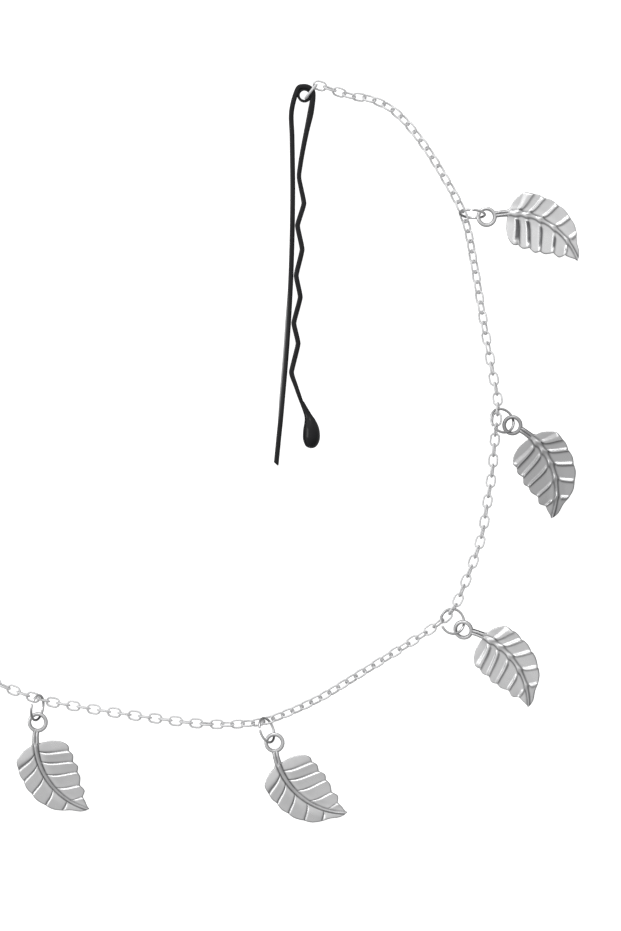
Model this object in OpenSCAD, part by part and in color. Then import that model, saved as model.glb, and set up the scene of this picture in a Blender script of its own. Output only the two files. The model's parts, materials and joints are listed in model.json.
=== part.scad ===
// Hair chain: a fine cable chain with leaf charms on jump rings and a hair pin at each end,
// lying on a flat surface. Millimetres, +Z up, origin on the surface in the middle of the spread.

/* [Chain] */
// Outer length of a chain link
link_l = 2.1; // [1.9:0.05:2.4]
// Outer width of a chain link
link_w = 1.5; // [1.4:0.05:1.7]
// Diameter of the wire of a chain link
link_wire = 0.24; // [0.2:0.01:0.28]
// Play between two links of the chain
link_play = 0.12; // [0.1:0.01:0.15]

/* [Jump rings] */
// Outer diameter of a jump ring
ring_d = 4; // [3.8:0.1:4.4]
// Diameter of the wire of a jump ring
ring_wire = 0.36; // [0.3:0.02:0.4]
// Width of the saw cut in a jump ring
ring_cut = 0.15; // [0.1:0.05:0.3]

/* [End rings] */
// Outer diameter of the ring that joins the chain to a hair pin
end_ring_d = 2.9; // [2.8:0.05:3.2]
// Diameter of the wire of that ring
end_ring_wire = 0.36; // [0.3:0.02:0.4]

/* [Leaf charms] */
// Length of a leaf from the middle of its eye to its tip
leaf_l = 14.7; // [13:0.1:17]
// Width of the blade
leaf_w = 8.2; // [7:0.1:9.5]
// How far the midrib bows to one side
leaf_bow = 3; // [2:0.1:4]
// Thickness of the blade
leaf_t = 0.55; // [0.45:0.05:0.8]
// Thickness of the blade at its margin
leaf_edge_t = 0.4; // [0.3:0.05:0.6]
// Height of the step at each side vein
vein_rise = 0.28; // [0.15:0.01:0.4]
// Width of the midrib
midrib_w = 0.7; // [0.5:0.05:0.9]
// Height of the midrib above the blade
midrib_rise = 0.22; // [0.1:0.01:0.3]
// Slope of the two halves of the blade away from the midrib, in degrees
leaf_fold = 6; // [0:1:12]
// Outer diameter of the eye of a leaf
eye_d = 2.95; // [2.8:0.05:3.3]
// Width of the wall of that eye
eye_wall = 0.55; // [0.45:0.05:0.6]

/* [Hair pins] */
// Length of a hair pin
pin_l = 55; // [50:1:65]
// Thickness of its flat wire
pin_wire_t = 0.62; // [0.5:0.02:0.7]
// Width of its flat wire
pin_wire_w = 1.4; // [1.2:0.05:1.5]
// Bore of the small ring soldered inside the bend
pin_eye_d = 1.5; // [1.4:0.05:1.8]
// Wall of that ring
pin_eye_wall = 0.3; // [0.25:0.05:0.4]
// Height of that ring
pin_eye_h = 1; // [0.8:0.1:1.2]
// Depth of the crimps in the waved leg
crimp_depth = 0.7; // [0.5:0.05:0.8]
// Diameter of the drop on the end of the waved leg
drop_d = 2.5; // [2:0.1:3]
// Length of that drop
drop_l = 4.8; // [4:0.1:6]

/* [Hidden] */

silver = "silver";
black = "#26262a";

// Unit vector with a heading in the plan and a rise above it
function aim(heading, rise = 0) = [cos(heading) * cos(rise), sin(heading) * cos(rise), sin(rise)];

// Point between a and b on the curve that leaves a along run_a and comes into b along run_b
function between(a, b, run_a, run_b, t) = (2 * t * t * t - 3 * t * t + 1) * a
    + (t * t * t - 2 * t * t + t) * run_a + (3 * t * t - 2 * t * t * t) * b + (t * t * t - t * t) * run_b;

// Curve through a list of points, smooth where slack is 0.5 and more kinked where it is less
smooth = 0.5;
function curve(p, steps, slack) = let(
    n = len(p) - 1,
    run = [for (i = [0:n]) slack[i] * (p[min(i + 1, n)] - p[max(i - 1, 0)])])
    [for (i = [0:n - 1], k = [0:steps - 1])
        between(p[i], p[i + 1], run[i], run[i + 1], k / steps),
    p[n]];
function all_smooth(p) = [for (q = p) smooth];

// Hair pin, in its own frame: the middle of its eye is the origin, its legs run along -Y
solder = 0.08;
bend_r = pin_eye_d / 2 + pin_eye_wall + pin_wire_t / 2 - solder;
head_top = bend_r + pin_wire_t / 2;
leg_l = pin_l - head_top;
drop_turn = 15;

// Straight leg from its tip to the bend: along as a share of the leg, across as a share of bend_r
straight_leg = [
    [1.000, -3.10],
    [0.925, -2.80],
    [0.850, -2.50],
    [0.660, -1.86],
    [0.475, -1.46],
    [0.280, -1.30],
    [0.120, -1.38],
    [0.045, -1.46]];

// Waved leg from the bend to the drop: along as a share of the leg, across as a share of bend_r,
// thickness as a share of the wire's, share of the crimp's depth, slack of the curve
waved_leg = [
    [0.045, 0.72, 1.30, 0, smooth],
    [0.090, 0.32, 1.10, 0, smooth],
    [0.135, -0.06, 1.00, 0, smooth],
    [0.185, -0.42, 0.95, 0, smooth],
    [0.224, -0.42, 0.90, -0.3, 0.3],
    [0.293, -0.30, 1, 0.5, 0.2],
    [0.353, -0.47, 1, -0.5, 0.2],
    [0.418, -0.49, 1, 0.5, 0.2],
    [0.488, -0.66, 1, -0.4, 0.2],
    [0.547, -0.69, 1, 0.5, 0.2],
    [0.617, -0.86, 1, -0.5, 0.2],
    [0.673, -0.92, 1, 0.5, 0.2],
    [0.750, -1.12, 1, -0.5, 0.2],
    [0.790, -0.82, 1, 0, smooth],
    [0.822, -0.42, 1, 0, smooth],
    [0.870, 0.24, 1, 0, smooth]];
drop_at = [0.90 * bend_r, -0.922 * leg_l];

bend_angles = [145, 100, 55, 10];
pin_line = curve(concat(
    [for (s = straight_leg) [s[1] * bend_r, -s[0] * leg_l, pin_wire_t]],
    [for (a = bend_angles) [bend_r * cos(a), bend_r * sin(a), pin_wire_t]],
    [for (s = waved_leg)
        [s[1] * bend_r + s[3] * crimp_depth, -s[0] * leg_l, s[2] * pin_wire_t]]), 8,
    concat(all_smooth(straight_leg), all_smooth(bend_angles), [for (s = waved_leg) s[4]]));

function side_of(line, i, side) = let(
    n = len(line) - 1,
    step = line[min(i + 1, n)] - line[max(i - 1, 0)],
    run = [step[0], step[1]])
    [line[i][0], line[i][1]] + side * line[i][2] / 2 * [-run[1], run[0]] / norm(run);

// Outline of the drop, from the neck to its round end, as [radius share, length share]
drop_outline = [[0, 0], [0.25, 0], [0.27, 0.10], [0.36, 0.24], [0.54, 0.38], [0.76, 0.52],
    [0.93, 0.64], [1, 0.75], [0.97, 0.84], [0.85, 0.92], [0.62, 0.975], [0.32, 0.995], [0, 1]];

module hair_pin() {
    n = len(pin_line) - 1;
    color(black) union() {
        linear_extrude(pin_wire_w, center = true)
            polygon(concat([for (i = [0:n]) side_of(pin_line, i, 1)],
                [for (i = [n:-1:0]) side_of(pin_line, i, -1)]));
        difference() {
            cylinder(h = pin_eye_h, d = pin_eye_d + 2 * pin_eye_wall, center = true, $fn = 48);
            cylinder(h = pin_eye_h + 1, d = pin_eye_d, center = true, $fn = 48);
        }
        translate([drop_at[0], drop_at[1], 0]) rotate([90, 0, drop_turn])
            translate([0, 0, -0.75 * drop_l]) rotate_extrude($fn = 32)
                polygon([for (p = drop_outline) [p[0] * drop_d / 2, p[1] * drop_l]]);
    }
}

// What lies on the surface is this far above it
rest_gap = 0.02;

// End ring: it goes through the pin's eye and round its bend, and stands on edge. The pin's head
// rests on it, so that there is room for its wire below the bend.
end_ring_r = (end_ring_d - end_ring_wire) / 2;
end_ring_side = 32;
end_ring_heading = 52;
end_ring_z = end_ring_d / 2 + rest_gap;
head_below_ring = 0.15;

// The pin rests on that ring and on its drop
pin_tilt = asin((end_ring_z - head_below_ring - drop_d / 2) / -drop_at[1]);
pin_at = [26, 51.8, end_ring_z - head_below_ring];
end_ring_at = [pin_at[0], pin_at[1], end_ring_z]
    + (pin_eye_d / 2 + (pin_eye_wall + pin_wire_t - solder) / 2) * aim(end_ring_side);

module placed_pin() {
    translate(pin_at) rotate([pin_tilt, 0, 0]) hair_pin();
}

module placed_end_ring() {
    color(silver) translate(end_ring_at) rotate([90, 0, end_ring_heading])
        rotate_extrude($fn = 32) translate([end_ring_r, 0]) circle(d = end_ring_wire, $fn = 16);
}

// Leaf charm, in its own frame: the middle of its eye is the origin, its tip is on +X.
// The midrib and stem are one arc from the eye to the tip that bows towards -Y.
midrib_r = (pow(leaf_l / 2, 2) + pow(leaf_bow, 2)) / (2 * leaf_bow);
function midrib_y(x) = midrib_r - leaf_bow - sqrt(pow(midrib_r, 2) - pow(x - leaf_l / 2, 2));
eye_r = (eye_d - eye_wall) / 2;
stem_w = 0.74;
stem_t = 0.75;

// Rows of the blade, from its base to its tip. Columns: place on the midrib, then along and out of
// the left margin and of the right margin, then 1 where a side vein runs. Places along are shares
// of leaf_l, and out is the distance from the midrib's arc as a share of leaf_w.
leaf_rows = [
    [0.188, 0.195, 0.140, 0.172, 0.100, 0],
    [0.195, 0.225, 0.315, 0.174, 0.225, 0],
    [0.207, 0.282, 0.490, 0.205, 0.355, 0],
    [0.221, 0.350, 0.590, 0.235, 0.410, 0],
    [0.238, 0.398, 0.575, 0.270, 0.415, 1],
    [0.286, 0.452, 0.600, 0.340, 0.400, 0],
    [0.337, 0.500, 0.555, 0.405, 0.388, 1],
    [0.405, 0.561, 0.580, 0.483, 0.400, 0],
    [0.473, 0.602, 0.526, 0.558, 0.388, 1],
    [0.551, 0.663, 0.495, 0.646, 0.385, 0],
    [0.629, 0.731, 0.382, 0.741, 0.353, 1],
    [0.714, 0.810, 0.340, 0.816, 0.320, 0],
    [0.803, 0.859, 0.208, 0.876, 0.247, 1],
    [0.878, 0.912, 0.147, 0.915, 0.155, 0],
    [0.946, 0.963, 0.064, 0.973, 0.107, 0],
    [0.990, 0.996, 0.020, 0.994, 0.035, 0]];
// Behind each vein the blade steps up over this share of the way to the next row
vein_step = 0.3;

function midrib_point(share) = [share * leaf_l, midrib_y(share * leaf_l)];
function on_plan(p, q, share) = p + share * (q - p);

// Closed loop of points across the leaf at a place on the midrib, from margin to margin and back
function leaf_loop(mid, left, right, margin_t, blade_t, rise, rib) = let(
    foot_l = min(0.6, midrib_w / 2 / norm(left - mid)),
    foot_r = min(0.6, midrib_w / 2 / norm(right - mid)),
    spots = [[left, 1], [left, 0.5], [left, foot_l], [mid, 0], [right, foot_r], [right, 0.5], [right, 1]],
    half = [margin_t, blade_t, blade_t, blade_t + 2 * rib, blade_t, blade_t, margin_t] / 2,
    lift = [rise, rise, 0, 0, 0, rise, rise],
    plan = [for (s = spots) on_plan(mid, s[0], s[1])],
    fold = [for (p = plan) -norm(p - mid) * tan(leaf_fold)])
    concat(
        [for (k = [0:6]) [plan[k][0], plan[k][1], fold[k] + lift[k] + half[k]]],
        [for (k = [6:-1:0]) [plan[k][0], plan[k][1], fold[k] + lift[k] - half[k]]]);

// Loop of the round stem, square to the midrib, at a share of the stem's full size
function stem_loop(share, size) = let(
    mid = midrib_point(share),
    run = midrib_point(share + 0.01) - midrib_point(share - 0.01),
    out = size * stem_w / 2 * [-run[1], run[0]] / norm(run),
    t = size * stem_t)
    leaf_loop(mid, mid + out, mid - out, t * 0.4, t * 0.75, 0, t * 0.125);

function blade_loop(row, rise) = leaf_loop(midrib_point(row[0]),
    [row[1] * leaf_l, midrib_y(row[1] * leaf_l) + row[2] * leaf_w],
    [row[3] * leaf_l, midrib_y(row[3] * leaf_l) - row[4] * leaf_w],
    leaf_edge_t, leaf_t, rise, midrib_rise * (1.15 - row[0]));

// The stem starts where the midrib's arc comes out of the middle of the eye's wall, small enough to
// be all inside that wall, and has its full size halfway to the blade
stem_from = eye_r * cos(asin(leaf_l / 2 / midrib_r) - asin(eye_r / 2 / midrib_r)) / leaf_l;
stem_to = 0.17;
stem_root = 0.72 * eye_wall / stem_t;

leaf_loops = concat(
    [stem_loop(stem_from, stem_root), stem_loop((stem_from + stem_to) / 2, 1), stem_loop(stem_to, 1)],
    [for (i = [0:len(leaf_rows) - 1], step = [0:leaf_rows[i][5]])
        step == 0 ? blade_loop(leaf_rows[i], leaf_rows[i][5] == 1 ? 0 : vein_rise * 0.45)
        : blade_loop(on_plan(leaf_rows[i], leaf_rows[i + 1], vein_step), vein_rise)]);

// Skin over a row of closed loops of points, in triangles
module skin(loops) {
    n = len(loops);
    k = len(loops[0]);
    polyhedron([for (loop = loops) each loop], concat(
        [for (j = [1:k - 2]) [0, j, j + 1]],
        [for (i = [0:n - 2], j = [0:k - 1], half = [0, 1]) let(
            a = i * k + j, b = i * k + (j + 1) % k, c = a + k, d = b + k)
            half == 0 ? [a, c, d] : [a, d, b]],
        [for (j = [1:k - 2]) [(n - 1) * k, (n - 1) * k + j + 1, (n - 1) * k + j]]));
}

module leaf_charm() {
    color(silver) union() {
        skin(leaf_loops);
        rotate_extrude($fn = 32) translate([eye_r, 0]) circle(d = eye_wall, $fn = 16);
    }
}

// Chain: its height at rest follows from how far its links are turned
link_r = (link_w - link_wire) / 2;
link_straight = link_l - link_w;
link_turn = 45;
function rest_height(turn) = link_r * sin(link_turn + min(abs(turn), 90 - link_turn))
    + link_wire / 2 + rest_gap;

// Route of the chain: x, y, lift above its height at rest, turn of its links in degrees
route = [
    [29.9, 52.8, 0.45, -25],
    [32.6, 51.9, 0.06, -10],
    [36.0, 51.3, 0, 0],
    [39.6, 49.2, 0, 0],
    [43.6, 44.4, 0, 0],
    [47.8, 37.4, 0, 0],
    [49.4, 33.5, 0, 0],
    [50.5, 28.1, 0, 0],
    [51.9, 19.5, 0, -10],
    [53.3, 11.6, 0, -28],
    [54.0, 7.8, 0.14, -30],
    [53.8, 4.5, 0.56, -30],
    [53.5, 1.3, 0.12, -30],
    [53.2, -2.5, 0, -30],
    [52.5, -7.0, 0, -28],
    [51.5, -12.5, 0, -28],
    [49.2, -18.8, 0, -28],
    [47.4, -22.6, 0.2, -27],
    [44.5, -25.2, 0.08, -20],
    [39.9, -28.2, 0, -10],
    [34.1, -31.8, 0, 0],
    [28.3, -35.3, 0, 0],
    [22.8, -37.8, 0, 0],
    [19.0, -38.9, 0, 5],
    [12.0, -39.1, 0, 35],
    [3.9, -38.2, 0, 45],
    [-5.4, -36.8, 0, 45],
    [-12.3, -35.5, 0, 45],
    [-18.1, -33.4, 0, 35],
    [-27.0, -29.6, 0, 10],
    [-36.0, -24.4, 0, 0],
    [-44.2, -16.8, 0, 0],
    [-50.4, -7.0, 0, 0],
    [-53.8, 4.6, 0, 0],
    [-54.6, 16.6, 0, 0],
    [-52.8, 28.2, 0, 0],
    [-48.6, 38.4, 0, 0],
    [-42.8, 46.2, 0, 0],
    [-36.6, 50.5, 0, 0],
    [-32.6, 51.9, 0.06, -10],
    [-29.9, 52.8, 0.45, -25]];

// The first and last link are turned so that an end ring goes nearly square through them
end_turn = -30;
chain_start = end_ring_at + end_ring_r * aim(end_ring_heading);
function chain_end(right) = [right[0], right[1], right[2] - rest_height(end_turn), end_turn];
route_points = concat([chain_end(chain_start)], route,
    [chain_end([-chain_start[0], chain_start[1], chain_start[2]])]);
route_line = curve(route_points, 10, all_smooth(route_points));
chain_line = [for (p = route_line) [p[0], p[1], rest_height(p[3]) + p[2]]];
chain_run = [for (i = 0, s = 0; i < len(chain_line);
    s = s + (i < len(chain_line) - 1 ? norm(chain_line[i + 1] - chain_line[i]) : 0), i = i + 1) s];
chain_l = chain_run[len(chain_run) - 1];

// Places along the chain, looked up by the distance from its start
chain_x = [for (i = [0:len(chain_line) - 1]) [chain_run[i], chain_line[i][0]]];
chain_y = [for (i = [0:len(chain_line) - 1]) [chain_run[i], chain_line[i][1]]];
chain_z = [for (i = [0:len(chain_line) - 1]) [chain_run[i], chain_line[i][2]]];
chain_turn = [for (i = [0:len(chain_line) - 1]) [chain_run[i], route_line[i][3]]];
function chain_at(s) = [lookup(s, chain_x), lookup(s, chain_y), lookup(s, chain_z)];

// Places of the links: the first and last go round the wire of an end ring
first_link = link_l / 2 - link_wire - link_play - end_ring_wire / 2;
link_count = round((chain_l - 2 * first_link) / (link_l - 2 * link_wire - link_play)) + 1;
link_pitch = (chain_l - 2 * first_link) / (link_count - 1);
function link_place(i) = first_link + i * link_pitch;
function link_angles(i) = let(
    s = link_place(i),
    d = chain_at(s + link_pitch / 2) - chain_at(s - link_pitch / 2))
    [lookup(s, chain_turn) + link_turn * (i % 2 == 0 ? 1 : -1), -asin(d[2] / norm(d)), atan2(d[1], d[0])];

module chain_link() {
    for (side = [-1, 1]) {
        translate([side * link_straight / 2, 0, 0]) rotate(-90 * side)
            rotate_extrude(angle = 180, $fn = 24) translate([link_r, 0]) circle(d = link_wire, $fn = 16);
        translate([0, side * link_r, 0]) rotate([0, 90, 0])
            cylinder(h = link_straight, d = link_wire, center = true, $fn = 16);
    }
}

module chain() {
    color(silver) for (i = [0:link_count - 1])
        translate(chain_at(link_place(i))) rotate(link_angles(i)) chain_link();
}

// Charms, in order along the chain. Columns: distance along the chain, 0 or 1 for an even or odd
// link, heading, rise and roll of the jump ring, angle of the eye round that ring, share of the
// eye's play it is pulled out by, heading, pitch and roll of the leaf, 180 where its back shows
charms = [
    [30.5, 0, 13, 49, 67, -74, 0.66, -25.3, 1.7, -5, 180],
    [59.0, 1, -69, 12, -30, 52, -0.16, -66.7, 2.2, 8, 180],
    [89.0, 1, -92, 11, -22, 58, 0.32, -49.5, 1.0, 23, 180],
    [120.5, 0, -98, 40, -50, 68, 0.61, -44.4, 2.3, 1, 0],
    [153.5, 0, -125, 45, 125, -72, 0.64, -59.8, 2.9, 2, 0],
    [189.5, 0, -76, 17, 25, -41, 0.56, -125.4, -0.6, -9, 180],
    [219.5, 0, -163, 51, 108, -78, 0.55, -119, 2.1, 1, 0],
    [249.5, 0, 173, 52, 97, -85, 0.63, -144.9, 1.6, 19, 180]];

ring_r = (ring_d - ring_wire) / 2;
eye_play = eye_d / 2 - eye_wall - ring_wire / 2;
ring_cut_angle = 2 * asin(ring_cut / 2 / ring_r);

function charm_link(c) = 2 * round(((c[0] - first_link) / link_pitch - c[1]) / 2) + c[1];
function ring_at(c) = chain_at(link_place(charm_link(c))) + ring_r * aim(c[2], c[3]);
function across(c) = cos(c[4]) * aim(c[2] + 90) + sin(c[4]) * aim(c[2], c[3] + 90);
function eye_at(c) = ring_at(c)
    + (ring_r + c[6] * eye_play) * (cos(c[5]) * aim(c[2], c[3]) + sin(c[5]) * across(c));

// The saw cut is halfway between the link and the eye, on the longer way round
module jump_ring(number) {
    c = charms[number - 1];
    cut_at = (c[5] - (c[5] > 0 ? 180 : -180)) / 2;
    color(silver) translate(ring_at(c)) rotate([c[4], -c[3], c[2]])
        rotate(cut_at + ring_cut_angle / 2)
            rotate_extrude(angle = 360 - ring_cut_angle, $fn = 48)
                translate([ring_r, 0]) circle(d = ring_wire, $fn = 16);
}

module placed_leaf(number) {
    c = charms[number - 1];
    translate(eye_at(c)) rotate([c[9] + c[10], c[8], c[7]]) leaf_charm();
}

chain();
placed_pin();  // hair_pin_right
mirror([1, 0, 0]) placed_pin();  // hair_pin_left
placed_end_ring();  // end_ring_right
mirror([1, 0, 0]) placed_end_ring();  // end_ring_left
jump_ring(1);  // jump_ring_1
jump_ring(2);  // jump_ring_2
jump_ring(3);  // jump_ring_3
jump_ring(4);  // jump_ring_4
jump_ring(5);  // jump_ring_5
jump_ring(6);  // jump_ring_6
jump_ring(7);  // jump_ring_7
jump_ring(8);  // jump_ring_8
placed_leaf(1);  // leaf_charm_1
placed_leaf(2);  // leaf_charm_2
placed_leaf(3);  // leaf_charm_3
placed_leaf(4);  // leaf_charm_4
placed_leaf(5);  // leaf_charm_5
placed_leaf(6);  // leaf_charm_6
placed_leaf(7);  // leaf_charm_7
placed_leaf(8);  // leaf_charm_8
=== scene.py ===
"""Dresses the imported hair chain: silver cable chain, jump rings, cast leaf charms and enamelled hair pins.

Each piece is made from its own sizes and then seated on the solid that it stands for, so the places all
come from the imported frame. Sizes in the dataclasses are in millimetres, but for the lights' and the
camera's clip; the Blender scene is in metres.
"""
import json
import logging
import math
from dataclasses import dataclass
from enum import Enum, IntEnum
from functools import partial
from typing import Any, Callable, Optional, Sequence

import bmesh
import bpy
import numpy as np
from mathutils import Matrix, Vector
from mathutils.bvhtree import BVHTree


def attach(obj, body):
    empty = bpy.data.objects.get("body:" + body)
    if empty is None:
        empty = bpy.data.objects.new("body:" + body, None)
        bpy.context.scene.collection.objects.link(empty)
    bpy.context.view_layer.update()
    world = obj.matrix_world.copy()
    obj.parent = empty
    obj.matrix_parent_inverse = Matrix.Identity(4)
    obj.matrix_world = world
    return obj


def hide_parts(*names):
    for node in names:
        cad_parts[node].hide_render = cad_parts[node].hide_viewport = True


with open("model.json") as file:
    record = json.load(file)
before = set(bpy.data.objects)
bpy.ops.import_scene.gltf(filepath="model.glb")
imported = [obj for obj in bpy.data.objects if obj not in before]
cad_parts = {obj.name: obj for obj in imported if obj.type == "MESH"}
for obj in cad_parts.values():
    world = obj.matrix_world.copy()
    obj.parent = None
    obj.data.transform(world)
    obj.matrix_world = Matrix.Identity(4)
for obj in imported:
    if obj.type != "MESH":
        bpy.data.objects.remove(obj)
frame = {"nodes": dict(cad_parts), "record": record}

Colour = tuple[float, float, float, float]
Span = tuple[float, float]
Number = float | np.ndarray

MM = 0.001
MERGE = 2e-7
BODY = "root"

log = logging.getLogger("hair_chain")
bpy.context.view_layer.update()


# Numbers and curves

def smooth_step(low: float, high: float, value: Number) -> Number:
    """Rises smoothly from 0 at low to 1 at high."""
    share = np.clip((value - low) / (high - low), 0.0, 1.0)
    return share * share * (3.0 - 2.0 * share)


def bell(away: float, half: float) -> float:
    """Falls from 1 in the middle to about a third at half."""
    return math.exp(-(away / half)**2)


def dome(away: float, radius: float) -> float:
    """Rises like half a circle, from 0 at the radius to 1 in the middle."""
    return math.sqrt(max(0.0, 1 - (away / radius)**2))


def grey(level: float, blue: float = 0.005) -> Colour:
    """Gives a grey with a trace of blue."""
    return (level, level, level + blue, 1.0)


def kinked_curve(points: Sequence[Sequence[float]], steps: int, slack: Sequence[float]) -> np.ndarray:
    """Draws a curve through points, smooth where slack is 0.5 and more kinked where it is less.

    Args:
        points: The points, each with any number of values.
        steps: Steps from one point to the next.
        slack: The share of the run between a point's neighbours that is its own run.

    Returns:
        One row for each point of the curve.
    """
    p = np.asarray(points, dtype=float)
    last = len(p) - 1
    runs = [slack[i] * (p[min(i + 1, last)] - p[max(i - 1, 0)]) for i in range(last + 1)]
    rows = []
    for i in range(last):
        for k in range(steps):
            t = k / steps
            rows.append((2 * t**3 - 3 * t**2 + 1) * p[i] + (t**3 - 2 * t**2 + t) * runs[i]
                        + (3 * t**2 - 2 * t**3) * p[i + 1] + (t**3 - t**2) * runs[i + 1])
    rows.append(p[last])
    return np.array(rows)


def smooth_curve(points: Sequence[Sequence[float]], steps: int) -> np.ndarray:
    """Draws the smooth curve through points, with steps from one point to the next."""
    return kinked_curve(points, steps, [0.5] * len(points))


# Shells and meshes

@dataclass
class Shell:
    """Closed surfaces in millimetres, with a mask from 0 to 1 that each finish reads in its own way."""

    points: np.ndarray
    faces: list[tuple[int, ...]]
    mask: np.ndarray
    # Painted shade over the whole piece, from 0 to 1
    age: float = 0.0

    def triangles(self) -> np.ndarray:
        """Returns the faces cut into triangles."""
        return np.array([(f[0], f[k], f[k + 1]) for f in self.faces for k in range(1, len(f) - 1)])

    def with_shell(self, other: "Shell") -> "Shell":
        """Joins another shell to this one.

        Args:
            other: The other shell.

        Returns:
            The two as one shell, with this one's piece shade.
        """
        start = len(self.points)
        moved = [tuple(corner + start for corner in face) for face in other.faces]
        return Shell(np.vstack([self.points, other.points]), self.faces + moved,
                     np.concatenate([self.mask, other.mask]), self.age)

    def flipped(self) -> "Shell":
        """Returns the mirror image across the YZ plane."""
        return Shell(self.points * [-1, 1, 1], self.faces, self.mask, self.age)

    def placed(self, place: np.ndarray) -> "Shell":
        """Returns the shell moved by a 4 by 4 matrix in millimetres."""
        return Shell(self.points @ place[:3, :3].T + place[:3, 3], self.faces, self.mask, self.age)


def swept(loops: np.ndarray, ring: bool = False, mask: Optional[np.ndarray] = None) -> Shell:
    """Lays a skin over a row of closed loops.

    Args:
        loops: Loops by points by 3 values.
        ring: True where the last loop joins the first, False where each end is closed by a face.
        mask: One value for each point of each loop.

    Returns:
        The closed shell.
    """
    rows, around = loops.shape[:2]
    faces: list[tuple[int, ...]] = []
    for i in range(rows if ring else rows - 1):
        a, b = i * around, (i + 1) % rows * around
        for j in range(around):
            k = (j + 1) % around
            faces.append((a + j, a + k, b + k, b + j))
    if not ring:
        faces.append(tuple(range(around)))
        faces.append(tuple((rows - 1) * around + j for j in range(around)))
    values = np.zeros(rows * around) if mask is None else mask.reshape(-1)
    return Shell(loops.reshape(-1, 3), faces, values)


def lathed(profile: np.ndarray, turns: int) -> Shell:
    """Turns a closed profile about Z into a ring.

    Args:
        profile: Points of radius and height.
        turns: Copies of the profile round the ring.

    Returns:
        The closed shell.
    """
    angles = np.arange(turns) * 2 * math.pi / turns
    loops = [[(r * math.cos(a), r * math.sin(a), z) for r, z in profile] for a in angles]
    return swept(np.array(loops), ring=True)


def rounded_section(half_in: float, half_up: float, squareness: float, around: int) -> np.ndarray:
    """Makes a section between an ellipse and a rectangle.

    Args:
        half_in: Half its size across.
        half_up: Half its size upwards.
        squareness: 2 for an ellipse, 6 and more for nearly a rectangle.
        around: The number of its points.

    Returns:
        Points of two values.
    """
    angle = (np.arange(around) + 0.5) * 2 * math.pi / around
    across, up = np.cos(angle), np.sin(angle)
    power = 2.0 / squareness
    return np.stack([half_in * np.sign(across) * np.abs(across)**power,
                     half_up * np.sign(up) * np.abs(up)**power], axis=1)


def new_piece(name: str, mesh: bpy.types.Mesh, nodes: Sequence[str]) -> bpy.types.Object:
    """Puts a finished mesh in the scene as a piece that stands for CAD nodes.

    Args:
        name: The piece's name.
        mesh: Its mesh, in place and with its material.
        nodes: The nodes that it stands for.

    Returns:
        The piece.
    """
    piece = bpy.data.objects.new(name, mesh)
    bpy.context.scene.collection.objects.link(piece)
    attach(piece, BODY)
    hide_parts(*nodes)
    log.info("%s: %d faces", name, len(mesh.polygons))
    return piece


def close_mesh(mesh: bpy.types.Mesh, sharp_angle: float) -> None:
    """Merges a mesh's doubles, turns its faces outwards and shades it smooth.

    Args:
        mesh: The mesh, which is changed.
        sharp_angle: Edges that turn by more than this many degrees stay sharp.
    """
    work = bmesh.new()
    work.from_mesh(mesh)
    bmesh.ops.remove_doubles(work, verts=work.verts, dist=MERGE)
    bmesh.ops.recalc_face_normals(work, faces=work.faces)
    limit = math.radians(sharp_angle)
    for face in work.faces:
        face.smooth = True
    for edge in work.edges:
        edge.smooth = len(edge.link_faces) < 2 or edge.calc_face_angle(0.0) < limit
    work.to_mesh(mesh)
    work.free()
    mesh.update()


def mesh_of(name: str, shell: Shell, material: bpy.types.Material, sharp_angle: float) -> bpy.types.Mesh:
    """Makes a mesh of a shell, with its mask and its piece shade as point attributes.

    Args:
        name: The mesh's name.
        shell: The shell, in place.
        material: Its finish.
        sharp_angle: Edges that turn by more than this many degrees stay sharp.

    Returns:
        The mesh, in metres.
    """
    mesh = bpy.data.meshes.new(name)
    mesh.from_pydata((shell.points * MM).tolist(), [], shell.faces)
    for label, values in (("mask", shell.mask), ("age", np.full(len(shell.points), shell.age))):
        attribute = mesh.attributes.new(label, "FLOAT", "POINT")
        attribute.data.foreach_set("value", values.astype(np.float32))
    close_mesh(mesh, sharp_angle)
    mesh.materials.append(material)
    return mesh


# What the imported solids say

@dataclass
class Solid:
    """Merged points in millimetres, and triangles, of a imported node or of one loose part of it."""

    points: np.ndarray
    triangles: np.ndarray

    @classmethod
    def of_node(cls, node: str) -> "Solid":
        """Reads a node of the frame.

        Args:
            node: The node's name.

        Returns:
            Its solid, with points that coincide made one.
        """
        mesh = frame["nodes"][node].data
        mesh.calc_loop_triangles()
        raw = np.empty(len(mesh.vertices) * 3, dtype=np.float32)
        mesh.vertices.foreach_get("co", raw)
        corners = np.empty(len(mesh.loop_triangles) * 3, dtype=np.int32)
        mesh.loop_triangles.foreach_get("vertices", corners)
        raw = raw.reshape(-1, 3).astype(float)
        keys = np.round(raw / MERGE).astype(np.int64)
        _, first, same = np.unique(keys, axis=0, return_index=True, return_inverse=True)
        return cls(raw[first] / MM, same.reshape(-1)[corners].reshape(-1, 3))

    def loose_parts(self) -> list["Solid"]:
        """Splits the solid where no triangle joins it.

        Returns:
            One solid for each loose part.
        """
        label = np.arange(len(self.points))
        while True:
            lowest = label[self.triangles].min(axis=1)
            joined = label.copy()
            for corner in range(3):
                np.minimum.at(joined, self.triangles[:, corner], lowest)
            joined = joined[joined]
            if (joined == label).all():
                break
            label = joined
        parts = []
        for root in np.unique(label[self.triangles[:, 0]]):
            own = self.triangles[label[self.triangles[:, 0]] == root]
            used, renumbered = np.unique(own, return_inverse=True)
            parts.append(Solid(self.points[used], renumbered.reshape(-1, 3)))
        return parts


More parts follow.
